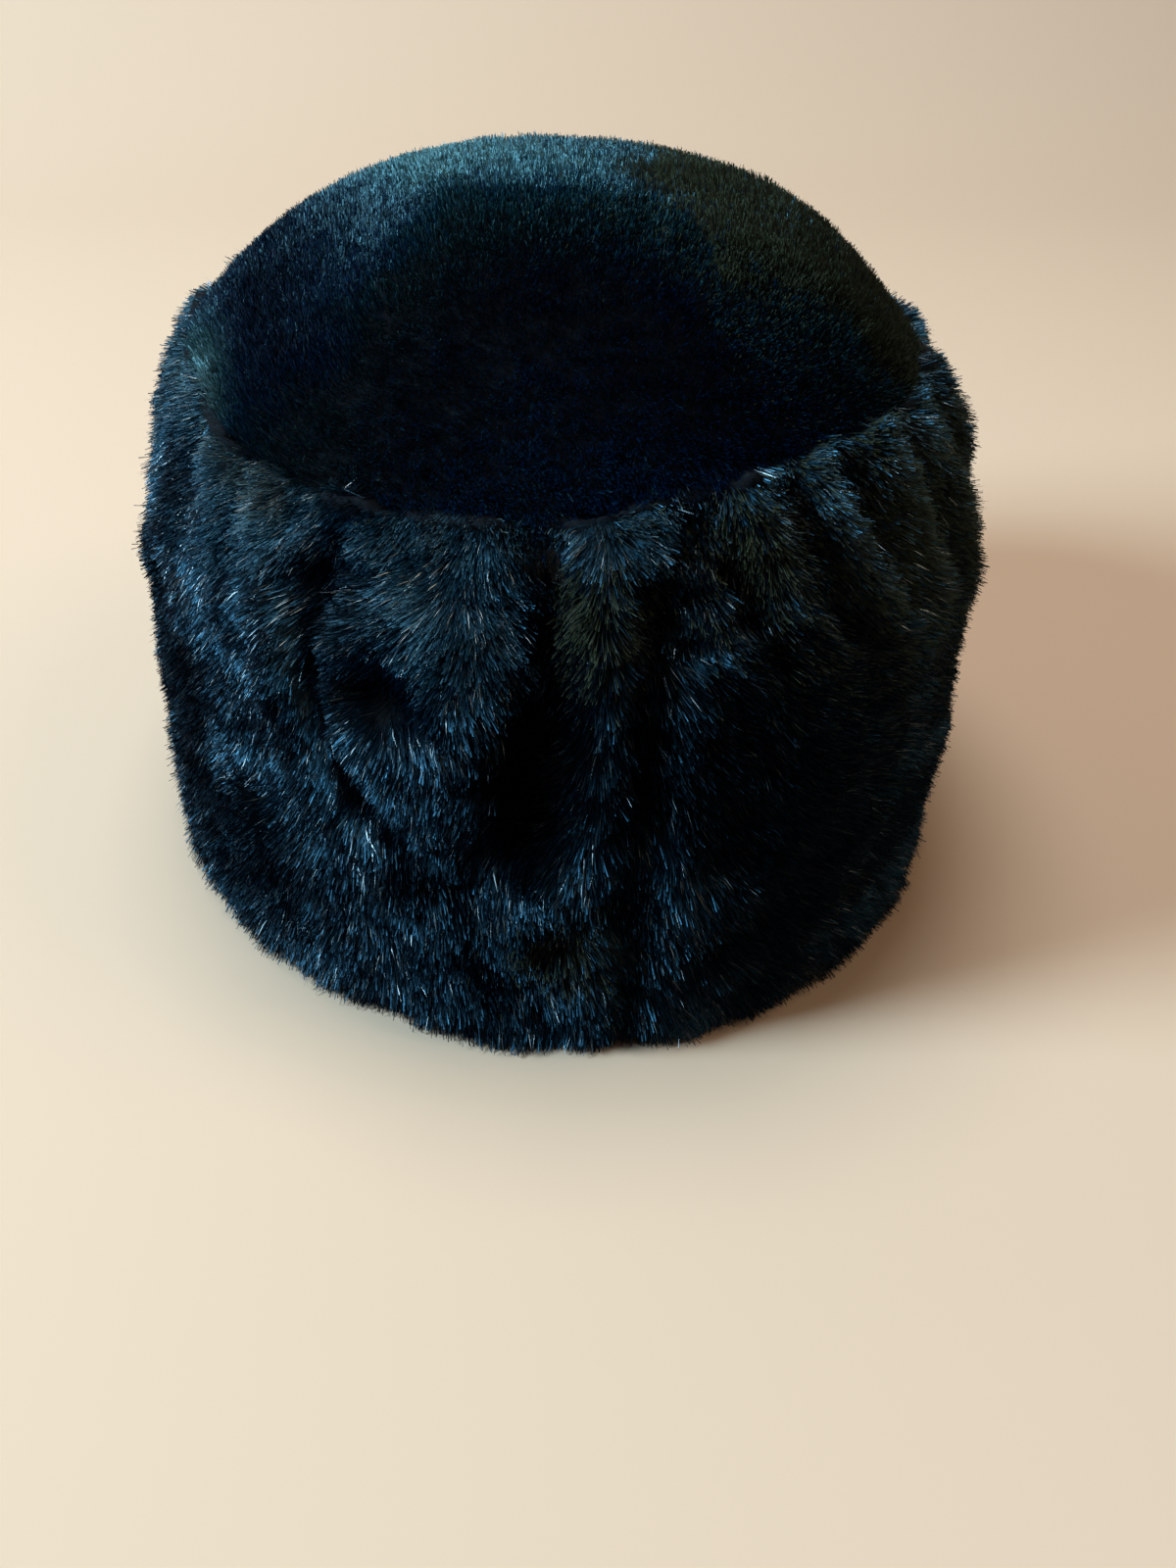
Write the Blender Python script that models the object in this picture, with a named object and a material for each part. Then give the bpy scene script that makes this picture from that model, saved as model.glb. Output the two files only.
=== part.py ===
"""Black fur pillbox hat: a domed oval crown tip sewn into a tall, softly creased side band.

Metres, +Z up. The hat stands on its hem at z = 0, with its back towards +Y and its front towards -Y.
The surfaces are the outer form of the pile. Places on the band are given as degrees from the middle of
the back, positive towards -X, which is the wearer's right, and millimetres above the hem.
"""

import math

import bmesh
import bpy
import numpy as np

MM = 0.001

# Overall form, over the pile
WIDTH = 222 * MM  # side to side at the widest
OVAL_RATIO = 1.14  # front to back over side to side
SEAM_HEIGHT = 140.5 * MM  # crown seam above the hem
TIP_RISE = 36 * MM  # middle of the tip above the crown seam
TIP_ROUNDING = 3.0  # power of the tip's dome: flat on top, steep at the seam
WIDEST_HEIGHT = 88 * MM
SHOULDER_INSET = 19 * MM  # crown seam inside the widest outline
SHOULDER_ROUNDING = 0.65  # power of the shoulder's curve, lower is squarer
HEM_INSET = 1 * MM
LEAN = (3.5 * MM, -1 * MM)  # how far the crown sits towards +X and +Y
SEAM_SLOPE = -0.04  # rise of the crown seam along X
# How the crown seam dips and rises round the hat: degrees, mm
SEAM_WAVE = (
    (-180, 0.0),
    (-130, 1.5),
    (-84, 3.0),
    (-58, -3.0),
    (-34, -3.4),
    (-12, -1.8),
    (0, 1.5),
    (12, 4.2),
    (27, 5.0),
    (46, 2.5),
    (68, 1.0),
    (120, -0.8),
    (180, 0.0),
)

# Walls
WALL = 11 * MM  # hide and pile together
TIP_WALL = 10 * MM
HEM_ROLL = 27 * MM  # the hem turned up inside, two layers thick
HEM_RADIUS = 6 * MM
TURN_UP = 32 * MM  # height of the turned-up hem inside
TURN_UP_EASE = 7 * MM  # rounding of its upper edge
SEAM_GAP = 0.4 * MM  # between the tip's rim and the band's edge
TIP_SET_DOWN = 2 * MM  # the tip's rim below the band's upper edge, where the pile parts over the seam
INNER_FOLLOW = 0.4  # share of each crease that shows inside
CREASE_FADE = 0.25  # share of the shoulder over which the creases run out into the seam

# Mesh: columns stand closer together at the back, where the creases are
BAND_COLUMNS = 132
BACK_CLUSTER = 0.45
WALL_ROWS = 11
SHOULDER_ROWS = 13
ARC_ROWS = 3
TIP_COLUMNS = 72
TIP_TOP_SHARES = (1.0, 0.985, 0.95, 0.88, 0.78, 0.64, 0.46, 0.25, 0.0)
TIP_UNDER_SHARES = (0.0, 0.45, 0.8, 1.0)

BAND_RADIUS = WIDTH * (1 + OVAL_RATIO) / 4  # mean radius, to measure angles as lengths

# Creases and ridges of the band. Each row runs from one place to another, bowed sideways in the middle,
# and rows of one name join into one crease.
# name, from deg, from mm, to deg, to mm, bow mm, width mm, depth mm (minus stands out)
BAND_FOLDS = (
    ("left_crease", -35, 127, -35, 82, -2, 5, 5.5),
    ("left_crease", -35, 82, -19, 47, -3, 5, 5.5),
    ("left_ridge", -40, 119, -41, 88, 0, 8, -3),
    ("left_ridge", -41, 88, -26, 53, -4, 8, -3),
    ("arch_crease", -34, 116, -11, 115, 14, 5, 3.5),
    ("round_bulge", -21, 109, -19, 99, 0, 15, -4.5),
    ("small_dimple", -27, 101, -27, 95, 0, 7, 4.5),
    ("middle_valley", -11, 128, -10, 70, -1, 8, 7),
    ("middle_crease", -13, 138, -7, 95, 2, 5, 3.5),
    ("middle_ridge", -5, 133, -5, 101, 0, 7, -3),
    ("low_valley", -17, 53, -14, 21, -2, 8, 3),
    ("middle_foot", -9, 33, -8, 0, 0, 6, 2),
    ("pucker", 5, 142, 3, 115, -1, 5, 5),
    ("back_seam", -1, 127, 0, -6, 0, 4.5, 4),
    ("right_crease_1", 8, 142, 13, 109, -1, 5, 4),
    ("right_crease_2", 17, 143, 27, 103, -2, 6, 5),
    ("right_crease_3", 26, 143, 36, 109, -2, 6, 5),
    ("right_crease_4", 41, 142, 49, 107, -2, 6.5, 4.5),
    ("right_crease_5", 58, 141, 68, 107, -2, 7, 4),
    ("right_crease_6", 80, 140, 88, 109, -2, 7, 3.5),
    ("right_swell", 18, 66, 42, 56, 0, 22, -2.5),
    ("left_tuck", -63, 82, -84, 79, 2, 6, 3),
    ("left_flat", -76, 124, -92, 112, 0, 24, 4),
    ("left_gather_1", -43, 137, -40, 117, 1, 5, 4),
    ("left_gather_2", -54, 137, -50, 115, 1, 6, 4),
    ("left_gather_3", -68, 138, -64, 113, 1, 6, 3.5),
    ("left_gather_4", -84, 139, -80, 111, 1, 7, 3.5),
    ("left_low_crease", -58, 31, -48, 14, -1, 6, 2.5),
)
# Soft gathers that carry the same look round the front
FRONT_GATHERS = 10
FRONT_FROM_DEG = 104
FRONT_TO_DEG = 258
GATHER_TOP = 139
GATHER_DROP = (30, 42)  # mm, short and long by turns
GATHER_LEAN = 6  # degrees
GATHER_WIDTH = 9
GATHER_DEPTH = 3.5

# Clumps of pile: waves round the band, waves up its height, phase, height mm
PILE_WAVES = (
    (15, 5.0, 0.4, 0.5),
    (-19, 8.5, 1.9, 0.4),
    (26, 10.0, 4.1, 0.3),
)
# Shallow hollows and swells of the tip: x mm, y mm, radius mm, depth mm (minus stands up)
TIP_DENTS = (
    (-24, 40, 40, 1.5),
    (38, 10, 34, -1.2),
    (-66, -6, 34, -2.0),
)
TIP_WAVES = ((19, 9.0, 0.7, 0.35), (-27, 14.0, 2.2, 0.3))

FUR_COLOUR = (0.010, 0.013, 0.018, 1.0)


def clear_scene():
    """Removes what the startup scene holds."""
    for obj in list(bpy.data.objects):
        bpy.data.objects.remove(obj, do_unlink=True)


def fur_material(name, roughness):
    """Near-black glossy pile."""
    material = bpy.data.materials.new(name)
    material.use_nodes = True
    shader = material.node_tree.nodes["Principled BSDF"]
    shader.inputs["Base Color"].default_value = FUR_COLOUR
    shader.inputs["Roughness"].default_value = roughness
    shader.inputs["Metallic"].default_value = 0.0
    return material


def front_gathers():
    """Rows like those of BAND_FOLDS, spaced evenly round the hidden front."""
    step = (FRONT_TO_DEG - FRONT_FROM_DEG) / (FRONT_GATHERS - 1)
    rows = []
    for i in range(FRONT_GATHERS):
        top = FRONT_FROM_DEG + i * step
        foot = GATHER_TOP - GATHER_DROP[i % 2]
        lean = GATHER_LEAN if top < 180 else -GATHER_LEAN
        name = f"front_gather_{i + 1}"
        rows.append((name, top, GATHER_TOP, top + lean, foot, 0, GATHER_WIDTH, GATHER_DEPTH))
    return rows


def fold_path(from_deg, from_mm, to_deg, to_mm, bow_mm, points=9):
    """The line of a crease on the unrolled band, as lengths round it and heights, in metres."""
    start = np.array([math.radians(from_deg) * BAND_RADIUS, from_mm * MM])
    end = np.array([math.radians(to_deg) * BAND_RADIUS, to_mm * MM])
    along = end - start
    length = max(float(np.hypot(*along)), 1e-6)
    across = np.array([along[1], -along[0]]) / length
    share = np.linspace(0, 1, points)[:, None]
    return start + share * along - across * bow_mm * MM * 4 * share * (1 - share)


def distance_to_path(places, path):
    """The distance from each place to a line of points."""
    nearest = np.full(len(places), np.inf)
    for a, b in zip(path[:-1], path[1:]):
        edge = b - a
        share = np.clip(((places - a) @ edge) / max(float(edge @ edge), 1e-12), 0, 1)
        nearest = np.minimum(nearest, np.linalg.norm(places - a - share[:, None] * edge, axis=1))
    return nearest


def band_relief(degrees, heights):
    """How far the band's surface stands out (or in, where negative) at each place."""
    distances, sizes = {}, {}
    for name, *line, width_mm, depth_mm in (*BAND_FOLDS, *front_gathers()):
        middle = (line[0] + line[2]) / 2
        near_degrees = (degrees - middle + 180) % 360 - 180 + middle
        places = np.column_stack([np.radians(near_degrees) * BAND_RADIUS, heights])
        away = distance_to_path(places, fold_path(*line))
        distances[name] = np.minimum(distances.get(name, away), away)
        sizes[name] = (width_mm * MM, depth_mm * MM)
    relief = np.zeros(len(degrees))
    for name, away in distances.items():
        width, depth = sizes[name]
        spread = (away / width) ** 2
        relief -= depth * (1 - spread / 2) * np.exp(-spread / 2)
    for around, up, phase, height_mm in PILE_WAVES:
        wave = np.sin(np.radians(degrees) * around + heights / SEAM_HEIGHT * up * math.pi + phase)
        relief += height_mm * MM * wave
    return relief


def tip_relief(x, y, share):
    """The same for the tip, which calms down towards its rim."""
    relief = np.zeros(len(x))
    for dent_x, dent_y, radius_mm, depth_mm in TIP_DENTS:
        away = np.hypot(x - dent_x * MM, y - dent_y * MM) / (radius_mm * MM)
        relief -= depth_mm * MM * np.exp(-away * away)
    angle = np.arctan2(y, x)
    for around, out, phase, height_mm in TIP_WAVES:
        relief += height_mm * MM * share * np.sin(angle * around + share * out * math.pi + phase)
    return relief


def band_profile():
    """The band's closed section, from the hem's outer edge up, over the seam and down inside.

    Each row is inset from the widest outline, height, and how the surface follows the creases: 1 outside,
    and a minus share inside, where the faces look the other way.
    """
    rows = []
    for i in range(ARC_ROWS):  # rounded outer edge of the hem
        turn = i / ARC_ROWS * math.pi / 2
        inset = HEM_INSET + HEM_RADIUS * (1 - math.sin(turn))
        rows.append((inset, HEM_RADIUS * (1 - math.cos(turn)), i / ARC_ROWS))
    for i in range(WALL_ROWS):  # wall, easing out to the widest
        share = i / WALL_ROWS
        height = HEM_RADIUS + (WIDEST_HEIGHT - HEM_RADIUS) * share
        rows.append((HEM_INSET * (1 - math.sin(share * math.pi / 2)), height, 1.0))
    for i in range(SHOULDER_ROWS + 1):  # shoulder, turning in to the crown seam
        share = math.sin(i / SHOULDER_ROWS * math.pi / 2)
        curve = max(math.cos(share * math.pi / 2), 0.0) ** SHOULDER_ROUNDING
        height = WIDEST_HEIGHT + (SEAM_HEIGHT - WIDEST_HEIGHT) * share
        follow = min(1.0, (1 - i / SHOULDER_ROWS) / CREASE_FADE)
        rows.append((SHOULDER_INSET * (1 - curve), height, follow))
    inner = -INNER_FOLLOW
    rows += [
        (SHOULDER_INSET, SEAM_HEIGHT - WALL, 0.0),
        (WALL + SHOULDER_INSET / 4, SEAM_HEIGHT - 2 * WALL, inner),
        (WALL, WIDEST_HEIGHT, inner),
        (WALL, TURN_UP + WALL, inner),
        (HEM_ROLL - TURN_UP_EASE / 2, TURN_UP, inner),
        (HEM_ROLL, TURN_UP - TURN_UP_EASE, inner),
    ]
    for i in range(ARC_ROWS + 1):  # rounded inner edge of the hem
        turn = i / ARC_ROWS * math.pi / 2
        inset = HEM_ROLL - HEM_RADIUS * (1 - math.cos(turn))
        rows.append((inset, HEM_RADIUS * (1 - math.sin(turn)), inner * (1 - i / ARC_ROWS)))
    return rows


def tip_profile():
    """The tip's section as rows of share of the seam's oval, height and follow, from the top's middle out."""
    rows = []
    rim = SEAM_HEIGHT - TIP_SET_DOWN
    rise = TIP_RISE + TIP_SET_DOWN
    for share in reversed(TIP_TOP_SHARES):
        rows.append((share, rim + rise * (1 - share**TIP_ROUNDING), 1.0))
    for share in reversed(TIP_UNDER_SHARES):
        rows.append((share, rim + rise * (1 - share**TIP_ROUNDING) - TIP_WALL, 0.0))
    return rows


def turned(rows, columns, closed):
    """A plain lathe shape from a section of (out, up, follow) rows, with the follow kept on each vertex."""
    bm = bmesh.new()
    follow_layer = bm.verts.layers.float.new("follow")
    section = []
    for out, up, follow in rows:
        vert = bm.verts.new((out, 0, up))
        vert[follow_layer] = follow
        section.append(vert)
    pairs = list(zip(section[:-1], section[1:]))
    if closed:
        pairs.append((section[-1], section[0]))
    edges = [bm.edges.new(pair) for pair in pairs]
    bmesh.ops.spin(
        bm,
        geom=section + edges,
        axis=(0, 0, 1),
        cent=(0, 0, 0),
        angle=math.tau,
        steps=columns,
        use_merge=True,
    )
    bmesh.ops.remove_doubles(bm, verts=bm.verts, dist=1e-6)
    bmesh.ops.recalc_face_normals(bm, faces=bm.faces)
    return bm, follow_layer


def angle_from_back(x, y, cluster=0.0):
    """The angle from the back's middle towards -X, with the columns drawn together at the back if asked."""
    even = math.atan2(-x, y)
    return even - cluster * math.sin(even)


def seam_wave(x, y):
    """How far the crown seam stands above its level at this side of the hat."""
    degrees, rises = zip(*SEAM_WAVE)
    return float(np.interp(math.degrees(angle_from_back(x, y)), degrees, rises)) * MM


def lean_and_slope(x, y, height):
    """The point of the leaning, sloping hat that a point of the upright one becomes."""
    lean = min(max((height - WIDEST_HEIGHT) / (SEAM_HEIGHT - WALL - WIDEST_HEIGHT), 0.0), 1.0)
    rise = min(max(height / SEAM_HEIGHT, 0.0), 1.0)
    leaned = (x + LEAN[0] * lean, y + LEAN[1] * lean)
    return *leaned, height + rise * SEAM_SLOPE * x + rise**2 * seam_wave(*leaned)


def finish_mesh(bm, name, material):
    """Makes the bmesh an object with its own material, shaded smooth."""
    bmesh.ops.triangulate(bm, faces=bm.faces, quad_method="SHORT_EDGE")
    mesh = bpy.data.meshes.new(name)
    bm.to_mesh(mesh)
    bm.free()
    mesh.materials.append(material)
    mesh.shade_smooth()
    mesh.set_sharp_from_angle(angle=math.radians(60))
    return bpy.data.objects.new(name, mesh)


def move_along_normals(bm, relief, follow_layer):
    """Moves each vertex by its relief, as far as it follows."""
    bm.normal_update()
    offsets = [v.normal * (v[follow_layer] * r) for v, r in zip(bm.verts, relief)]
    for vert, offset in zip(bm.verts, offsets):
        vert.co += offset


def side_band():
    """The tall band, hem turned up inside, with its creases, its gathers and the back seam's groove."""
    rows = [(WIDTH / 2 - inset, height, follow) for inset, height, follow in band_profile()]
    bm, follow_layer = turned(rows, BAND_COLUMNS, closed=True)
    degrees, heights = [], []
    for vert in bm.verts:
        angle = angle_from_back(vert.co.x, vert.co.y, BACK_CLUSTER)
        radius = math.hypot(vert.co.x, vert.co.y)
        side = -radius * math.sin(angle)
        depth = (radius + WIDTH / 2 * (OVAL_RATIO - 1)) * math.cos(angle)
        vert.co = lean_and_slope(side, depth, vert.co.z)
        degrees.append(math.degrees(angle_from_back(vert.co.x, vert.co.y)))
        heights.append(vert.co.z)
    relief = band_relief(np.array(degrees), np.array(heights))
    move_along_normals(bm, relief, follow_layer)
    return finish_mesh(bm, "side_band", fur_material("side_band_fur", 0.42))


def crown_tip():
    """The domed oval top, set inside the band's upper edge."""
    half_width = WIDTH / 2 - SHOULDER_INSET - SEAM_GAP
    half_length = half_width + WIDTH / 2 * (OVAL_RATIO - 1)
    rows = [(share * half_width, height, follow) for share, height, follow in tip_profile()]
    bm, follow_layer = turned(rows, TIP_COLUMNS, closed=False)
    xs, ys, shares = [], [], []
    for vert in bm.verts:
        share = math.hypot(vert.co.x, vert.co.y) / half_width
        angle = angle_from_back(vert.co.x, vert.co.y)
        side = -share * half_width * math.sin(angle)
        depth = share * half_length * math.cos(angle)
        xs.append(side)
        ys.append(depth)
        shares.append(share)
        x, y = side + LEAN[0], depth + LEAN[1]
        vert.co = (x, y, vert.co.z + SEAM_SLOPE * side + share**2 * seam_wave(x, y))
    relief = tip_relief(np.array(xs), np.array(ys), np.array(shares))
    relief *= 1 - np.array(shares) ** 8  # the rim keeps its gap to the band
    move_along_normals(bm, relief, follow_layer)
    return finish_mesh(bm, "crown_tip", fur_material("crown_tip_fur", 0.5))


def centre_on_origin(objects):
    """Moves the meshes so that the hat's box is centred over the origin and the hem stands at z = 0."""
    corners = np.array([v.co for obj in objects for v in obj.data.vertices])
    middle = (corners.min(0) + corners.max(0)) / 2
    for obj in objects:
        for vert in obj.data.vertices:
            vert.co.x -= middle[0]
            vert.co.y -= middle[1]


def main():
    clear_scene()
    hat = bpy.data.collections.new("fur_pillbox_hat")
    bpy.context.scene.collection.children.link(hat)
    pieces = [side_band(), crown_tip()]
    centre_on_origin(pieces)
    for piece in pieces:
        hat.objects.link(piece)


main()
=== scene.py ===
import math

import bmesh
import bpy
import numpy as np
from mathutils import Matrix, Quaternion, Vector


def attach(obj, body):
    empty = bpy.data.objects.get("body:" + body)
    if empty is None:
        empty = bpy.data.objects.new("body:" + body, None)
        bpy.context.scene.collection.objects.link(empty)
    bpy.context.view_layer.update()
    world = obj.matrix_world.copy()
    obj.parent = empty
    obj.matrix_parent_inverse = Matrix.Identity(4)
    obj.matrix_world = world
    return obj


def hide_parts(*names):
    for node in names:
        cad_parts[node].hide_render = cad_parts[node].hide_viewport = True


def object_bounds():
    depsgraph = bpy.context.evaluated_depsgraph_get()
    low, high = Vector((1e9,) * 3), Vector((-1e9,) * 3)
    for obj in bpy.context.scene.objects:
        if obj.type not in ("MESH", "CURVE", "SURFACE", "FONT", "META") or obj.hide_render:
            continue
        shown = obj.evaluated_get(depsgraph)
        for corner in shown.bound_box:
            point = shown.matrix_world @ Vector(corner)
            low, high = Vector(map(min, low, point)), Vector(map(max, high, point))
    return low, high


# Black fur pillbox hat, seen from behind. Metres, +Z up, back of the hat towards +Y.
# Two hides stand for the two solids, sunk below them by the depth of the pile, and the hairs grow from them
# back out to the solids' surface.

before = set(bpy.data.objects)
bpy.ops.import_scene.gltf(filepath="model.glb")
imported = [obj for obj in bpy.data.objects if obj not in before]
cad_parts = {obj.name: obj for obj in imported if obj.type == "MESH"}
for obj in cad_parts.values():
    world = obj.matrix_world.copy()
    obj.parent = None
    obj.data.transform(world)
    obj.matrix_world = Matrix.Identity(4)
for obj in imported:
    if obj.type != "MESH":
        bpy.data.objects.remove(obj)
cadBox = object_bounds()
mm = 0.001
rng = np.random.default_rng(7)

# What the photo's camera sees: place and aim in metres, roll in degrees, 36 mm lens on a 36 mm film
photoView = dict(place=(0.0644, 0.3947, 0.2768), ahead=(-0.1555, -0.8002, -0.5792), roll=3.1, lens=36)


# Smooth noise

def latticeNoise(places, cell, seed):
    # value noise from -1 to 1 on a grid of random numbers, blended smoothly between the cells
    table = np.random.default_rng(seed).uniform(-1, 1, (32, 32, 32))
    scaled = places / cell
    base = np.floor(scaled).astype(int)
    part = scaled - base
    part = part * part * (3 - 2 * part)
    total = np.zeros(len(places))
    for corner in range(8):
        step = np.array([corner & 1, corner >> 1 & 1, corner >> 2 & 1])
        weight = np.prod(np.where(step, part, 1 - part), axis=1)
        at = (base + step) % 32
        total += weight * table[at[:, 0], at[:, 1], at[:, 2]]
    return total


def noiseSlope(places, cell, seed):
    # the direction in which the noise rises, about 1 long
    step = cell * 0.25
    here = latticeNoise(places, cell, seed)
    slopes = [latticeNoise(places + step * axis, cell, seed) - here for axis in np.eye(3)]
    return np.stack(slopes, axis=1) * 2.5


def unit(vectors):
    return vectors / np.maximum(np.linalg.norm(vectors, axis=1, keepdims=True), 1e-9)


def rowDot(a, b):
    return np.einsum("ij,ij->i", a, b)


def easeStep(low, high, value):
    share = np.clip((value - low) / (high - low), 0, 1)
    return share * share * (3 - 2 * share)


def evenedNormals(normals, edges, rounds):
    # each normal drawn towards its neighbours', so that narrow grooves no longer turn it; sharp rims stay
    edges = edges[rowDot(normals[edges[:, 0]], normals[edges[:, 1]]) > 0.55]
    for _ in range(rounds):
        total = normals.copy()
        np.add.at(total, edges[:, 0], normals[edges[:, 1]])
        np.add.at(total, edges[:, 1], normals[edges[:, 0]])
        normals = unit(total)
    return normals


# Places on the hat

def outwards(places):
    # flat direction away from the hat's axis, on its oval
    corner = cadBox[1]
    flat = np.column_stack([places[:, 0] / corner.x**2, places[:, 1] / corner.y**2, np.zeros(len(places))])
    return unit(flat)


def degreesFromBack(places):
    return np.degrees(np.arctan2(-places[:, 0], places[:, 1]))


meanRadius = (cadBox[1].x + cadBox[1].y) / 2 / mm  # of the hat's oval, in mm


def offsetsFrom(places, degrees, height):
    # level and upward distance in mm from a spot given by its degrees from the back and its height in mm
    aside = np.radians((degreesFromBack(places) - degrees + 180) % 360 - 180) * meanRadius
    return aside, places[:, 2] / mm - height


def seamHeights():
    # height of the crown seam for each direction, read from the band's upper edge
    points = np.array([v.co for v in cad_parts["side_band"].data.vertices])
    degrees = degreesFromBack(points)
    stops = np.arange(-180, 181, 5)
    tops = [points[np.abs((degrees - stop + 180) % 360 - 180) < 4, 2].max() for stop in stops]
    return stops, np.array(tops)


seamStops, seamTops = seamHeights()


def belowSeam(places):
    return np.interp(degreesFromBack(places), seamStops, seamTops) - places[:, 2]


# Hides

hideLook = dict(
    bandPile=4.9 * mm,  # how deep the hide lies under the pile's surface
    hemPile=3.4 * mm,
    tipPile=3.2 * mm,
    turnUp=36 * mm,  # fur shows inside up to here
    evening=5,  # how many times each normal is drawn towards its neighbours'
    colour=(0.002, 0.0025, 0.0035),
    backing=(0.012, 0.012, 0.013),
    stitchScale=900,
)


def startMaterial(name, roughness):
    # a new material with its shader, nodes and links
    material = bpy.data.materials.new(name)
    material.use_nodes = True
    shader = material.node_tree.nodes["Principled BSDF"]
    shader.inputs["Roughness"].default_value = roughness
    return material, shader, material.node_tree.nodes, material.node_tree.links


def hideMaterial():
    material, shader, nodes, links = startMaterial("furHide", 0.9)
    shader.inputs["Specular IOR Level"].default_value = 0.05
    place = nodes.new("ShaderNodeTexCoord")
    grain = nodes.new("ShaderNodeTexNoise")
    grain.inputs["Scale"].default_value = 700
    grain.inputs["Detail"].default_value = 3
    links.new(place.outputs["Object"], grain.inputs["Vector"])
    ramp = nodes.new("ShaderNodeValToRGB")
    ramp.color_ramp.elements[0].position = 0.35
    ramp.color_ramp.elements[0].color = (*[v * 0.4 for v in hideLook["colour"]], 1)
    ramp.color_ramp.elements[1].position = 0.7
    ramp.color_ramp.elements[1].color = (*[v * 1.7 for v in hideLook["colour"]], 1)
    links.new(grain.outputs["Fac"], ramp.inputs["Fac"])
    links.new(ramp.outputs["Color"], shader.inputs["Base Color"])
    return material


def backingMaterial():
    # the knitted back of the fur cloth, seen inside the hat
    material, shader, nodes, links = startMaterial("knitBacking", 0.9)
    shader.inputs["Specular IOR Level"].default_value = 0.25
    shader.inputs["Sheen Weight"].default_value = 0.15
    place = nodes.new("ShaderNodeTexCoord")
    knit = nodes.new("ShaderNodeTexVoronoi")
    knit.inputs["Scale"].default_value = hideLook["stitchScale"]
    knit.inputs["Randomness"].default_value = 0.35
    links.new(place.outputs["Object"], knit.inputs["Vector"])
    ramp = nodes.new("ShaderNodeValToRGB")
    ramp.color_ramp.elements[0].color = (*[v * 1.6 for v in hideLook["backing"]], 1)
    ramp.color_ramp.elements[1].color = (*[v * 0.5 for v in hideLook["backing"]], 1)
    links.new(knit.outputs["Distance"], ramp.inputs["Fac"])
    links.new(ramp.outputs["Color"], shader.inputs["Base Color"])
    bump = nodes.new("ShaderNodeBump")
    bump.inputs["Strength"].default_value = 0.6
    bump.inputs["Distance"].default_value = 0.3 * mm
    bump.invert = True
    links.new(knit.outputs["Distance"], bump.inputs["Height"])
    links.new(bump.outputs["Normal"], shader.inputs["Normal"])
    return material


def nodeShape(name):
    # a merged copy of a CAD node's mesh
    shape = bmesh.new()
    shape.from_mesh(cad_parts[name].data)
    bmesh.ops.remove_doubles(shape, verts=shape.verts, dist=0.00001)
    shape.normal_update()
    return shape


def addPiece(name, mesh):
    piece = bpy.data.objects.new(name, mesh)
    bpy.context.scene.collection.objects.link(piece)
    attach(piece, "root")
    return piece


def outerBand(places, normals):
    # 1 on the band's outside and over its upper edge
    facing = easeStep(-0.05, 0.2, rowDot(normals, outwards(places)))
    crown = easeStep(0.0, 0.3, normals[:, 2]) * (places[:, 2] > 100 * mm)
    return np.maximum(facing, crown)


def furryBand(places, normals):
    # 1 where the pile grows: outside, over the hem's edge and on the turned-up hem inside
    hem = 1 - easeStep(hideLook["turnUp"] - 2 * mm, hideLook["turnUp"], places[:, 2])
    return np.maximum(outerBand(places, normals), hem)


def furryTip(places, normals):
    return (normals[:, 2] > 0.1).astype(float)


def sinkBand(places, normals, evened):
    low = 1 - easeStep(6 * mm, 20 * mm, places[:, 2])
    thin = np.maximum(low, 1 - outerBand(places, normals))
    pile = hideLook["bandPile"] + (hideLook["hemPile"] - hideLook["bandPile"]) * thin
    return -evened * (pile * furryBand(places, normals))[:, None]


def sinkTip(places, normals, evened):
    # the dome sinks along its own slope, its rim straight down
    rim = easeStep(0.1, 0.55, normals[:, 2])[:, None]
    way = evened * rim + np.array([0, 0, 1]) * (1 - rim)
    return -way * hideLook["tipPile"] * (normals[:, 2] > 0.1)[:, None]


def makeHide(name, nodeName, sink, furry):
    shape = nodeShape(nodeName)
    places = np.array([v.co for v in shape.verts])
    normals = np.array([v.normal for v in shape.verts])
    edges = np.array([[v.index for v in edge.verts] for edge in shape.edges])
    evened = evenedNormals(normals, edges, hideLook["evening"])
    for vert, move in zip(shape.verts, sink(places, normals, evened)):
        vert.co += Vector(move)
    shape.normal_update()
    centres = np.array([face.calc_center_median() for face in shape.faces])
    furryFaces = furry(centres, np.array([face.normal for face in shape.faces])) > 0.5
    for face, covered in zip(shape.faces, furryFaces):
        face.material_index = 0 if covered else 1
        face.smooth = True
    mesh = bpy.data.meshes.new(name)
    shape.to_mesh(mesh)
    shape.free()
    mesh.materials.append(hideMaterial())
    mesh.materials.append(backingMaterial())
    piece = addPiece(name, mesh)
    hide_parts(nodeName)
    return piece


def furColouredBand(places, normals):
    # the lip of the crown seam takes the colour of the fur on both its sides
    return np.maximum(furryBand(places, normals), belowSeam(places) < 12 * mm)


bandHide = makeHide("bandHide", "side_band", sinkBand, furColouredBand)
tipHide = makeHide("crownHide", "crown_tip", sinkTip, furryTip)
print("hides made")


# Hairs

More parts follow.
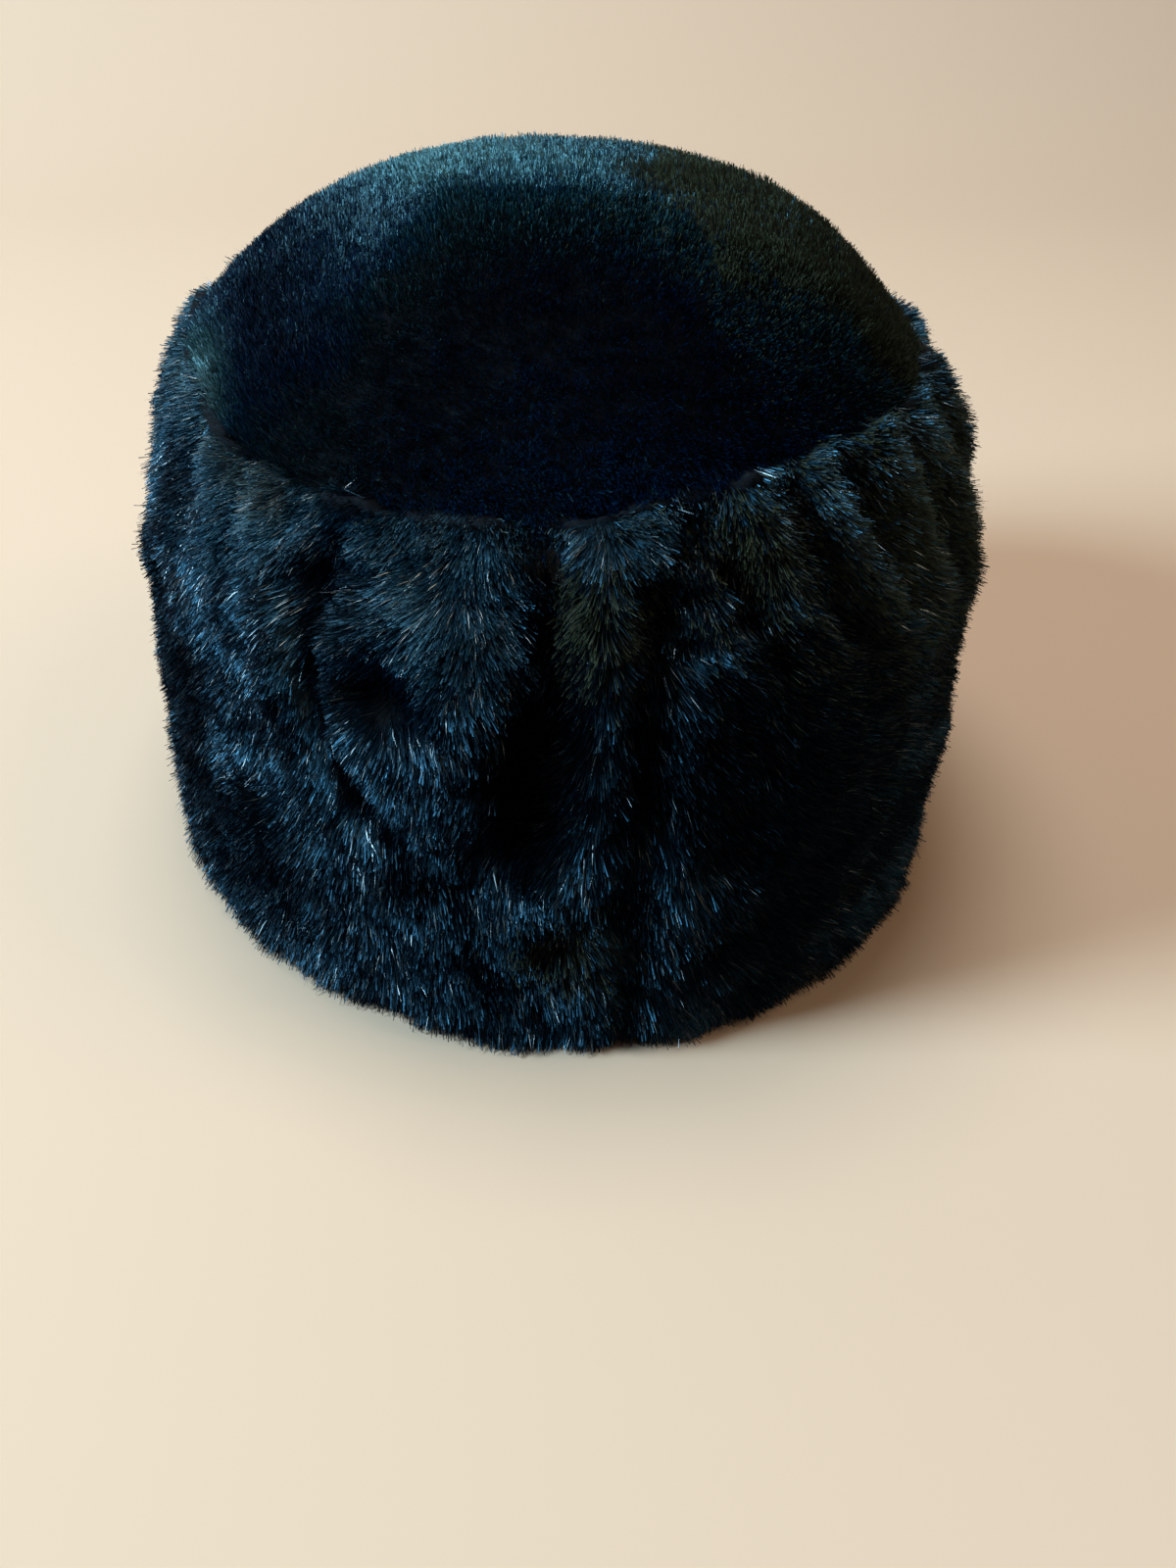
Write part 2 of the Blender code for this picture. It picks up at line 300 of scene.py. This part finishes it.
def rootsOn(hide, count, weigh):
    # random places on a hide with their normals, thicker where weigh(places, normals) is larger
    mesh = hide.data
    mesh.calc_loop_triangles()
    corners = np.empty(len(mesh.vertices) * 3)
    mesh.vertices.foreach_get("co", corners)
    corners = corners.reshape(-1, 3)
    bends = np.empty(len(mesh.vertices) * 3)
    mesh.vertices.foreach_get("normal", bends)
    edges = np.empty(len(mesh.edges) * 2, int)
    mesh.edges.foreach_get("vertices", edges)
    bends = evenedNormals(bends.reshape(-1, 3), edges.reshape(-1, 2), hideLook["evening"])
    tris = np.empty(len(mesh.loop_triangles) * 3, int)
    mesh.loop_triangles.foreach_get("vertices", tris)
    tris = tris.reshape(-1, 3)
    a, b, c = (corners[tris[:, i]] for i in range(3))
    area = np.linalg.norm(np.cross(b - a, c - a), axis=1) / 2
    share = area * np.clip(weigh((a + b + c) / 3, unit(bends[tris].sum(axis=1))), 0, None)
    chosen = rng.choice(len(tris), count, p=share / share.sum())
    mix = rng.random((count, 2))
    mix = np.where(mix.sum(1, keepdims=True) > 1, 1 - mix, mix)
    u, v = mix[:, :1], mix[:, 1:]
    trio = tris[chosen]
    places = corners[trio[:, 0]] * (1 - u - v) + corners[trio[:, 1]] * u + corners[trio[:, 2]] * v
    normals = bends[trio[:, 0]] * (1 - u - v) + bends[trio[:, 1]] * u + bends[trio[:, 2]] * v
    return places, unit(normals)


def hairMesh(name, normals, roots, middles, tips, widths, tints):
    # one mesh of hairs: sheared ones, narrow at the root with a cut tip, or bent pointed ones with a middle;
    # their flat sides face more or less away from the hide
    count = len(roots)
    facing = normals + rng.normal(0, 0.45, (count, 3))
    half = unit(np.cross(unit(tips - roots), facing)) * widths[:, None] / 2
    if middles is None:
        corners = np.stack([roots, tips + half, tips - half], axis=1)
        heights = np.array([0.0, 1.0, 1.0])
        sides = np.array([0.0, 1.0, -1.0])
        order = np.array([0, 1, 2])
    else:
        corners = np.stack([roots, middles + half, middles - half, tips], axis=1)
        heights = np.array([0.0, 0.55, 0.55, 1.0])
        sides = np.array([0.0, 1.0, -1.0, 0.0])
        order = np.array([0, 1, 2, 2, 1, 3])
    loops = (np.arange(count)[:, None] * corners.shape[1] + order).ravel()
    mesh = bpy.data.meshes.new(name)
    mesh.vertices.add(count * corners.shape[1])
    mesh.vertices.foreach_set("co", corners.astype(np.float32).ravel())
    mesh.loops.add(len(loops))
    mesh.loops.foreach_set("vertex_index", loops.astype(np.int32))
    mesh.polygons.add(len(loops) // 3)
    mesh.polygons.foreach_set("loop_start", np.arange(0, len(loops), 3, dtype=np.int32))
    mesh.update(calc_edges=True)
    # across the map each hair has its own tint, and up the map runs from root to tip
    across = np.clip(tints, 0.01, 0.99)[:, None] + 0.004 * sides
    spots = np.stack([across, np.tile(heights, (count, 1))], axis=2)
    layer = mesh.uv_layers.new(name="OFBake")
    layer.uv.foreach_set("vector", spots[:, order].astype(np.float32).ravel())
    return mesh


def bendHairs(places, normals, nap, look):
    # roots, middles and tips of hairs that leave the hide along the normal and bend over to the nap
    count = len(places)
    strength = np.linalg.norm(nap, axis=1)
    lean = math.radians(look["lean"]) * strength
    lean *= 1 + look["leanSpread"] * latticeNoise(places, 11 * mm, 31)
    lean *= 1 + look["leanSpread"] * latticeNoise(places, 5 * mm, 33)
    lean = np.clip(lean + rng.normal(0, look["jitter"], count), 0.05, 1.45)[:, None]
    way = unit(nap)
    jitter = rng.normal(0, look["jitter"], (count, 3))
    length = look["length"] * (1 + look["lengthSpread"] * rng.uniform(-1, 1, count))
    length *= 1 - look["seamShort"] * (1 - easeStep(1 * mm, 12 * mm, belowSeam(places)))
    length = (length * (1 + look["patchy"] * latticeNoise(places, 7 * mm, 12)))[:, None]
    first = unit(normals * np.cos(lean * 0.8) + way * np.sin(lean * 0.8) + jitter)
    second = unit(normals * np.cos(lean * 1.2) + way * np.sin(lean * 1.2) + jitter)
    gather = noiseSlope(places, look["clump"], 41) * look["gather"]
    gather -= normals * rowDot(gather, normals)[:, None]
    roots = places - normals * 0.3 * mm
    middles = roots + first * length * 0.55 + gather * 0.4
    tips = middles + second * length * 0.45 + gather * 0.6
    return roots, middles, tips


def surfaceWays(places, normals, ahead):
    # the direction ahead laid on the surface, and the one square to it
    way = np.tile(np.array(ahead, float), (len(places), 1))
    way = unit(way - normals * rowDot(way, normals)[:, None])
    return way, np.cross(normals, way)


# Where the nap turns off its way down: degrees from the back, height in mm, reach in mm, turn in degrees, and
# how much more the hairs lean there
bandSwirls = (
    (-48, 28, 34, 25, -0.25),
    (-20, 20, 20, 25, -0.2),
    (-66, 74, 20, 0, -0.2),
    (-15, 48, 11, 30, 0.1),
    (-2, 45, 9, -25, 0),
    (-36, 78, 16, 15, 0.15),
    (-40, 112, 14, -35, 0.15),
    (-58, 116, 22, 20, 0.15),
    (-46, 50, 14, -70, -0.1),
    (-74, 98, 22, 0, 0),
    (-10, 90, 14, -85, 0),
    (-11, 66, 13, -75, 0),
    (-4, 112, 9, 20, 0),
    (3, 108, 8, 15, 0),
    (30, 90, 44, 50, 0.1),
    (26, 30, 44, 50, 0.1),
    (70, 70, 60, 40, 0),
)
# Where hairs stand away from one spot: degrees, height in mm, reach in mm, pull
bandWhorls = ((-27.5, 88, 17, 1.4), (-7, 34, 9, 1.2))


def bandNap(places, normals):
    # longest where the hairs lean most: down the band and round its swirls and whorls, upright on the lip of
    # the crown seam and combed straight down just below it
    down, side = surfaceWays(places, normals, (0, 0, -1))
    turn = 0.4 * latticeNoise(places, 24 * mm, 3) + 0.5 * latticeNoise(places, 9 * mm, 5)
    turn = turn + 0.3 * latticeNoise(places, 4.5 * mm, 6)
    more = np.ones(len(places))
    for degrees, height, reach, turned, leaning in bandSwirls:
        aside, upwards = offsetsFrom(places, degrees, height)
        close = np.exp(-(aside**2 + upwards**2) / reach**2)
        turn += math.radians(turned) * close
        more += leaning * close
    nap = down * np.cos(turn)[:, None] + side * np.sin(turn)[:, None]
    for degrees, height, reach, pull in bandWhorls:
        aside, upwards = offsetsFrom(places, degrees, height)
        away = np.maximum(np.hypot(aside, upwards), 0.5)
        spread = (side * aside[:, None] - down * upwards[:, None]) / away[:, None]
        nap = nap + spread * (pull * np.exp(-(away / reach) ** 2))[:, None]
    nap = nap / np.maximum(np.linalg.norm(nap, axis=1, keepdims=True), 1)
    gap = belowSeam(places) + 2 * mm * latticeNoise(places, 12 * mm, 8)
    free = easeStep(5 * mm, 17 * mm, gap)
    combed = (easeStep(1.5 * mm, 8 * mm, gap) - 0.15) * (0.85 + 0.3 * latticeNoise(places, 4 * mm, 9))
    return nap * (free * more)[:, None] + down * (combed * (1 - free))[:, None]


# Painted light and shade on the pile: lighter as painted highlight and sheen where the light catches it,
# darker as painted shade in its valleys and hollows: degrees, height in mm, reach in mm, change
paintedBandShades = (
    (-10, 92, 16, -0.4),
    (-11, 66, 13, -0.35),
    (-10, 106, 9, -0.4),
    (-5, 121, 10, -0.5),
    (14, 131, 14, -0.2),
    (14, 76, 26, -0.28),
    (24, 30, 30, -0.3),
    (44, 70, 40, -0.2),
    (22, 102, 24, -0.28),
    (9, 86, 12, -0.25),
    (-44, 45, 15, -0.22),
    (-32, 14, 26, -0.1),
    (-60, 35, 32, -0.26),
    (-24, 50, 15, -0.2),
    (-16, 14, 18, -0.2),
    (-75, 78, 26, -0.28),
    (-85, 118, 20, 0.4),
    (-50, 120, 15, 0.25),
    (-20, 112, 11, 0.3),
    (-26, 122, 12, 0.2),
    (-20, 86, 14, -0.05),
    (-28, 93, 6, -0.1),
    (-33, 138, 8, -0.7),
    (31, 146, 9, -0.7),
    (-58, 100, 12, 0.3),
    (-62, 72, 12, -0.2),
    (-66, 50, 14, -0.2),
    (-13, 40, 10, -0.25),
    (-2, 45, 8, 0.1),
    (5, 52, 7, 0.15),
    (3, 113, 5, 0.25),
    (8, 104, 8, -0.3),
    (35, 128, 24, 0.25),
)
# Painted shade along creases and painted highlights along lit ridges: change, reach in mm, and the degrees
# and heights of a line of spots
paintedBandLines = (
    (-0.75, 3, ((-35.8, 106), (-35, 93), (-33, 78), (-31.5, 69), (-28, 63), (-24.5, 58))),
    (0.45, 3, ((-38.5, 112), (-37.8, 98), (-37, 86), (-34.5, 72), (-31, 61.5), (-27, 56.5))),
    (-0.35, 2.5, ((-40, 88), (-38.2, 72), (-35, 60), (-31, 53))),
    (-0.7, 2.5, ((0, 123), (0, 104), (1, 78))),
)


def nearLine(places, stops, reach):
    # 1 along a line over the band, fading to both sides
    closest = np.full(len(places), np.inf)
    for (degrees, height), (nextDegrees, nextHeight) in zip(stops, stops[1:]):
        aside, upwards = offsetsFrom(places, degrees, height)
        run = math.radians(nextDegrees - degrees) * meanRadius
        rise = nextHeight - height
        along = np.clip((aside * run + upwards * rise) / (run * run + rise * rise), 0, 1)
        closest = np.minimum(closest, np.hypot(aside - along * run, upwards - along * rise))
    return np.exp(-(closest / reach) ** 2)


# Where a share of the hairs takes the olive tint of painted warm reflection from the room light: degrees,
# height in mm, reach in mm, share
bandOliveSheens = (
    (35, 124, 30, 0.9),
    (62, 122, 26, 0.6),
    (13, 130, 16, 0.6),
    (-5, 120, 11, 0.6),
    (-7, 32, 11, 0.5),
    (60, 100, 34, 0.6),
)


def chooseShadedTint(shade, oliveSheen):
    # dark to light runs from 0.2 to 1, through random tone and painted light and shade, and a share of the
    # hairs takes the olive tint, a painted warm reflection, below that
    shade = np.clip(shade + rng.normal(0, 0.1, len(shade)), 0.2, 0.98)
    return np.where(rng.random(len(shade)) < oliveSheen, 0.05, shade)


def bandTintAndShade(places):
    shade = 0.36 + 0.14 * latticeNoise(places, 15 * mm, 23) + 0.14 * latticeNoise(places, 5 * mm, 24)
    # painted light and shade from the table above
    for degrees, height, reach, change in paintedBandShades:
        aside, upwards = offsetsFrom(places, degrees, height)
        shade += change * np.exp(-(aside**2 + upwards**2) / reach**2)
    # painted shade in the creases and painted highlights on the ridges
    for change, reach, stops in paintedBandLines:
        shade += change * nearLine(places, stops, reach)
    # painted warm reflection: a share of the hairs takes the olive tint
    oliveSheen = np.zeros(len(places))
    for degrees, height, reach, share in bandOliveSheens:
        aside, upwards = offsetsFrom(places, degrees, height)
        oliveSheen += share * np.exp(-(aside**2 + upwards**2) / reach**2)
    # painted light: the short hairs beside the crown seam are made lighter, standing in for the light they
    # catch
    shade += 0.4 * (1 - easeStep(7 * mm, 17 * mm, belowSeam(places)))
    return chooseShadedTint(np.minimum(shade, 0.9), np.minimum(oliveSheen, 0.9))


# How far behind the axis the nap of the tip turns, and how much farther behind it at the tip's ends
tipLine = dict(middle=12 * mm, left=50 * mm, right=40 * mm)
# The lit strip on the tip's left rim: its middle's distance to the left and to the back, and its reach
tipStrip = dict(left=92 * mm, back=34 * mm, width=7 * mm, length=26 * mm)


def tipZones(places):
    # how far each place of the tip lies in the part brushed forwards, in its left and right ends and on the
    # lit strip of its left rim, and how close behind the line where the nap turns
    noise = latticeNoise(places, 24 * mm, 14) + 0.5 * latticeNoise(places, 7 * mm, 16)
    left = easeStep(30 * mm, 75 * mm, places[:, 0] + 8 * mm * noise)
    right = easeStep(8 * mm, 34 * mm, 10 * mm * noise - places[:, 0])
    limit = tipLine["middle"] + tipLine["left"] * left + tipLine["right"] * right
    forwards = easeStep(-24 * mm, 20 * mm, limit - places[:, 1] + 10 * mm * noise)
    stripAside = (places[:, 0] - tipStrip["left"]) / tipStrip["width"]
    stripAlong = (places[:, 1] - tipStrip["back"]) / tipStrip["length"]
    strip = np.exp(-(stripAside**2 + stripAlong**2))
    turning = (1 - forwards) * easeStep(-58 * mm, 0, limit - places[:, 1])
    return forwards, left, right, strip, turning


def tipNap(places, normals):
    # brushed towards the back of the hat, and the other way on the front of the tip and at its ends
    back, side = surfaceWays(places, normals, (0, 1, 0))
    forwards, left, right, strip, _ = tipZones(places)
    turn = 0.3 * latticeNoise(places, 26 * mm, 14) + 0.3 * latticeNoise(places, 8 * mm, 15)
    turn += rng.normal(0, 0.12, len(places))
    away = turn + np.radians(172 - 34 * left * (1 - strip) + 45 * right)
    forwards = np.maximum(forwards, strip)[:, None]
    here = back * np.cos(turn)[:, None] + side * np.sin(turn)[:, None]
    there = back * np.cos(away)[:, None] + side * np.sin(away)[:, None]
    return (here * (1 - forwards) + there * forwards) * (1 + 0.35 * strip)[:, None]


def tipTintAndShade(places):
    forwards, left, right, strip, turning = tipZones(places)
    # painted light: lighter towards the left end, where the window light falls
    shade = 0.34 + 0.07 * latticeNoise(places, 20 * mm, 27) + 0.12 * easeStep(-10 * mm, 45 * mm, places[:, 0])
    # painted sheen: lighter from just behind the middle of the tip forwards, except at its left end
    shade += 0.1 * easeStep(-60 * mm, -20 * mm, -places[:, 1]) * (1 - left)
    edge = np.hypot(places[:, 0] / cadBox[1].x, places[:, 1] / cadBox[1].y)
    # painted shade over the left end of the tip, with a painted highlight along its outer edge
    shade += left * (0.15 * easeStep(0.7, 0.85, edge) - 0.17)
    # painted sheen where the nap is brushed forwards, over the front of the tip, and a painted highlight on
    # the lit strip
    rim = easeStep(-18 * mm, 12 * mm, 2 * mm - places[:, 1] + 8 * mm * latticeNoise(places, 9 * mm, 28))
    shade += forwards * rim * 0.16 * (1 - 0.6 * right) * (1 - 0.7 * left) + 0.6 * strip
    # painted sheen: the hairs just behind the line where the nap turns are lighter, and greyer on the right,
    # where a share takes the olive tint of painted warm reflection
    oliveSheen = 0.95 * right * easeStep(0.1, 0.6, forwards)
    oliveSheen += 0.3 * turning * easeStep(-20 * mm, 20 * mm, -places[:, 0])
    return chooseShadedTint(shade + 0.4 * turning, oliveSheen)


def hairMaterial(name, look):
    # a dark hair, darker at its root as painted shade deep in the pile, with its own tint from one hair to
    # the next that carries painted light and shade as well
    material, shader, nodes, links = startMaterial(name, look["roughness"])
    shader.inputs["IOR"].default_value = look["ior"]
    shader.inputs["Specular Tint"].default_value = (*look["shineTint"], 1)
    shader.inputs["Anisotropic"].default_value = 1
    across = nodes.new("ShaderNodeTangent")
    across.direction_type = "UV_MAP"
    across.uv_map = "OFBake"
    links.new(across.outputs["Tangent"], shader.inputs["Tangent"])
    spot = nodes.new("ShaderNodeUVMap")
    spot.uv_map = "OFBake"
    parts = nodes.new("ShaderNodeSeparateXYZ")
    links.new(spot.outputs["UV"], parts.inputs["Vector"])
    # tint ramp: the olive tint of painted warm reflection, then dark to light, whose lighter end stands in
    # for painted highlights and sheen
    tint = nodes.new("ShaderNodeValToRGB")
    tint.color_ramp.elements[0].position = 0.08
    tint.color_ramp.elements[0].color = (*look["oliveSheen"], 1)
    tint.color_ramp.elements[1].color = (*look["lightest"], 1)
    tint.color_ramp.elements.new(0.2).color = (*look["darkest"], 1)
    tint.color_ramp.elements.new(0.5).color = (*look["middling"], 1)
    tint.color_ramp.elements.new(0.75).color = (*look["lighter"], 1)
    links.new(parts.outputs["X"], tint.inputs["Fac"])
    # the darker hairs, among them those darkened as painted shade, shine less as well
    gloss = nodes.new("ShaderNodeMapRange")
    gloss.inputs["From Min"].default_value = 0.2
    gloss.inputs["From Max"].default_value = 0.6
    gloss.inputs["To Min"].default_value = look["shine"] * 0.06
    gloss.inputs["To Max"].default_value = look["shine"]
    links.new(parts.outputs["X"], gloss.inputs["Value"])
    links.new(gloss.outputs["Result"], shader.inputs["Specular IOR Level"])
    # painted shade: each hair darkens towards its root, deep in the pile
    rise = nodes.new("ShaderNodeValToRGB")
    rise.color_ramp.elements[0].color = (0.2, 0.2, 0.2, 1)
    rise.color_ramp.elements[0].position = 0.3
    rise.color_ramp.elements[1].color = (1, 1, 1, 1)
    rise.color_ramp.elements[1].position = 0.95
    links.new(parts.outputs["Y"], rise.inputs["Fac"])
    mix = nodes.new("ShaderNodeMix")
    mix.data_type = "RGBA"
    mix.blend_type = "MULTIPLY"
    mix.inputs["Factor"].default_value = 1
    links.new(tint.outputs["Color"], mix.inputs["A"])
    links.new(rise.outputs["Color"], mix.inputs["B"])
    links.new(mix.outputs["Result"], shader.inputs["Base Color"])
    return material


pileLook = dict(
    count=190000,  # in each of the three parts of the band
    length=7.0 * mm,
    lengthSpread=0.2,
    patchy=0.12,
    seamShort=0.25,  # how much shorter the hairs are right beside the crown seam
    lean=50,
    leanSpread=0.22,
    jitter=0.13,
    clump=4.2 * mm,
    gather=1.2 * mm,
    width=0.2 * mm,
    roughness=0.42,
    ior=1.6,
    shine=0.75,
    shineTint=(0.2, 0.64, 1.0),
    # hair colours: the olive one is a painted warm reflection, and lighter and lightest stand in for painted
    # highlights and sheen
    oliveSheen=(0.022, 0.024, 0.014),
    darkest=(0.0002, 0.0008, 0.002),
    middling=(0.0010, 0.0045, 0.010),
    lighter=(0.008, 0.030, 0.048),
    lightest=(0.05, 0.06, 0.055),
)
guardLook = dict(
    pileLook,
    count=60000,
    length=7.8 * mm,
    jitter=0.16,
    gather=1.3 * mm,
    roughness=0.36,
    ior=2.0,
    shine=1.0,
    shineTint=(0.85, 0.95, 1.0),
)
hemLook = dict(pileLook, count=60000, length=4.6 * mm, lean=55, width=0.32 * mm, seamShort=0)
tipLook = dict(
    pileLook,
    length=4.1 * mm,
    patchy=0.06,
    seamShort=0,
    lean=38,
    leanSpread=0.2,
    clump=3.2 * mm,
    gather=0.55 * mm,
    ior=1.42,
    shineTint=(0.42, 0.92, 1.0),
    # the tip's colours: lighter and lightest stand in for the painted sheen of its rims and the painted
    # highlight of its lit strip
    darkest=(0.0002, 0.0006, 0.0013),
    middling=(0.0004, 0.006, 0.022),
    lighter=(0.006, 0.026, 0.029),
    lightest=(0.05, 0.09, 0.1),
)
tipGuardLook = dict(tipLook, count=15000, length=4.7 * mm, jitter=0.17, gather=0.6 * mm, width=0.22 * mm)


def growFur(name, hide, weigh, ways, look, curved, material):
    findNap, findTintAndShade = ways
    places, normals = rootsOn(hide, look["count"], weigh)
    roots, middles, tips = bendHairs(places, normals, findNap(places, normals), look)
    tips[:, 2] = np.maximum(tips[:, 2], 0.3 * mm)
    middles[:, 2] = np.maximum(middles[:, 2], 0.3 * mm)
    widths = look["width"] * rng.uniform(0.7, 1.3, len(roots))
    mesh = hairMesh(name, normals, roots, middles if curved else None, tips, widths, findTintAndShade(places))
    mesh.materials.append(material)
    addPiece(name, mesh)
    print(name, len(roots), "hairs")


def bandSlice(low, high):
    # the band's outside between two heights, without the slope of its lip that faces the crown
    def weigh(places, normals):
        facing = easeStep(-0.5, -0.15, rowDot(normals, outwards(places)))
        return outerBand(places, normals) * facing * (places[:, 2] >= low) * (places[:, 2] < high)
    return weigh


def hemInside(places, normals):
    return (1 - outerBand(places, normals)) * (places[:, 2] < hideLook["turnUp"])


pileHair = hairMaterial("pileHair", pileLook)
guardHair = hairMaterial("guardHair", guardLook)
tipHair = hairMaterial("tipHair", tipLook)
bandWays = (bandNap, bandTintAndShade)
tipWays = (tipNap, tipTintAndShade)
# The band's pile comes in three parts: name, and the heights between which it grows, open below and above
bandParts = (
    ("lowerBandPile", -1, 52 * mm),
    ("middleBandPile", 52 * mm, 98 * mm),
    ("upperBandPile", 98 * mm, 1),
)
for name, low, high in bandParts:
    growFur(name, bandHide, bandSlice(low, high), bandWays, pileLook, False, pileHair)
growFur("bandGuardHairs", bandHide, bandSlice(-1, 1), bandWays, guardLook, True, guardHair)
growFur("hemPile", bandHide, hemInside, bandWays, hemLook, False, pileHair)
growFur("crownPile", tipHide, furryTip, tipWays, tipLook, False, tipHair)
growFur("crownGuardHairs", tipHide, furryTip, tipWays, tipGuardLook, True, tipHair)


# Floor, light and camera

stageLook = dict(
    colour=(0.45, 0.30, 0.21),
    width=6,
    wallAway=1.1,
    wallHeight=3,
    curve=0.5,  # radius where the floor turns up into the walls
    curveSteps=12,
    glow=0.1,  # of the three walls that only the camera sees
)


def stagePiece(name, shape, glow):
    look = stageLook
    bmesh.ops.recalc_face_normals(shape, faces=shape.faces)
    mesh = bpy.data.meshes.new(name)
    shape.to_mesh(mesh)
    shape.free()
    mesh.shade_smooth()
    material, shader, _, _ = startMaterial(name, 0.9)
    shader.inputs["Base Color"].default_value = (*look["colour"], 1)
    shader.inputs["Specular IOR Level"].default_value = 0.1
    shader.inputs["Emission Color"].default_value = (*look["colour"], 1)
    shader.inputs["Emission Strength"].default_value = glow
    mesh.materials.append(material)
    piece = bpy.data.objects.new(name, mesh)
    bpy.context.scene.collection.objects.link(piece)
    return piece


def makeStage():
    # a floor that curves up into a wall behind the hat
    look = stageLook
    shape = bmesh.new()
    reach = look["width"] / 2
    rim = [shape.verts.new((x, reach, 0)) for x in (-reach, reach)]
    edges = [shape.edges.new(rim)]
    stops = []
    for i in range(look["curveSteps"] + 1):
        turn = i / look["curveSteps"] * math.pi / 2
        away = look["wallAway"] - look["curve"] * (1 - math.sin(turn))
        stops.append((-away, look["curve"] * (1 - math.cos(turn))))
    stops.append((-look["wallAway"], look["wallHeight"]))
    y, z = reach, 0
    for nextY, nextZ in stops:
        grown = bmesh.ops.extrude_edge_only(shape, edges=edges)["geom"]
        moved = [g for g in grown if isinstance(g, bmesh.types.BMVert)]
        bmesh.ops.translate(shape, verts=moved, vec=(0, nextY - y, nextZ - z))
        edges = [g for g in grown if isinstance(g, bmesh.types.BMEdge) and all(v in moved for v in g.verts)]
        y, z = nextY, nextZ
    stagePiece("paleFloor", shape, 0)


def makeWalls():
    # walls on the other three sides, far off and seen by the camera alone, so that the light stays as it is
    look = stageLook
    shape = bmesh.new()
    reach = look["width"] / 2
    behind = -look["wallAway"] - 2 * look["curve"]
    plan = ((reach, behind), (reach, reach), (-reach, reach), (-reach, behind))
    ring = [shape.verts.new((x, y, 0)) for x, y in plan]
    edges = [shape.edges.new(pair) for pair in zip(ring, ring[1:])]
    stops = []
    for i in range(1, look["curveSteps"] + 1):
        turn = i / look["curveSteps"] * math.pi / 2
        stops.append((look["curve"] * math.sin(turn), look["curve"] * (1 - math.cos(turn))))
    stops.append((look["curve"], look["wallHeight"]))
    out, up = 0, 0
    for nextOut, nextUp in stops:
        grown = bmesh.ops.extrude_edge_only(shape, edges=edges)["geom"]
        moved = [g for g in grown if isinstance(g, bmesh.types.BMVert)]
        for vert in moved:
            vert.co.x += math.copysign(nextOut - out, vert.co.x)
            vert.co.y += (nextOut - out) * (vert.co.y > 0)
            vert.co.z += nextUp - up
        edges = [g for g in grown if isinstance(g, bmesh.types.BMEdge) and all(v in moved for v in g.verts)]
        out, up = nextOut, nextUp
    walls = stagePiece("paleWalls", shape, look["glow"])
    walls.visible_diffuse = False
    walls.visible_glossy = False
    walls.visible_transmission = False
    walls.visible_shadow = False


# name, place, size, watts, colour
lamps = (
    ("windowLight", (2.0, 0.3, 1.2), 0.9, 170, (0.5, 0.8, 1.0)),
    ("ceilingLight", (0.15, -0.2, 1.5), 0.8, 22, (0.80, 0.94, 1.0)),
    ("roomLight", (-1.0, 0.3, 1.7), 0.9, 10, (1.0, 0.84, 0.6)),
)
roomGlow = dict(colour=(1.0, 0.92, 0.84), strength=0.08)


def makeLights():
    for name, place, size, watts, colour in lamps:
        lamp = bpy.data.lights.new(name, "AREA")
        lamp.shape = "DISK"
        lamp.size = size
        lamp.energy = watts
        lamp.color = colour
        holder = bpy.data.objects.new(name, lamp)
        holder.location = place
        aim = Vector((0, 0, 0.09)) - holder.location
        holder.rotation_euler = aim.to_track_quat("-Z", "Y").to_euler()
        holder.visible_camera = False
        bpy.context.scene.collection.objects.link(holder)
    world = bpy.data.worlds.new("room")
    world.use_nodes = True
    glow = world.node_tree.nodes["Background"]
    glow.inputs["Color"].default_value = (*roomGlow["colour"], 1)
    glow.inputs["Strength"].default_value = roomGlow["strength"]
    bpy.context.scene.world = world


def makeCamera():
    camera = bpy.data.cameras.new("photoCamera")
    camera.lens = photoView["lens"]
    camera.sensor_width = 36
    camera.clip_start = 0.01
    holder = bpy.data.objects.new("photoCamera", camera)
    holder.location = photoView["place"]
    aim = Vector(photoView["ahead"]).to_track_quat("-Z", "Y")
    holder.rotation_mode = "QUATERNION"
    holder.rotation_quaternion = aim @ Quaternion((0, 0, 1), math.radians(photoView["roll"]))
    bpy.context.scene.collection.objects.link(holder)
    bpy.context.scene.camera = holder


makeStage()
makeWalls()
makeLights()
makeCamera()
bpy.context.scene.view_settings.view_transform = "Standard"
print("stage, lights and camera made")
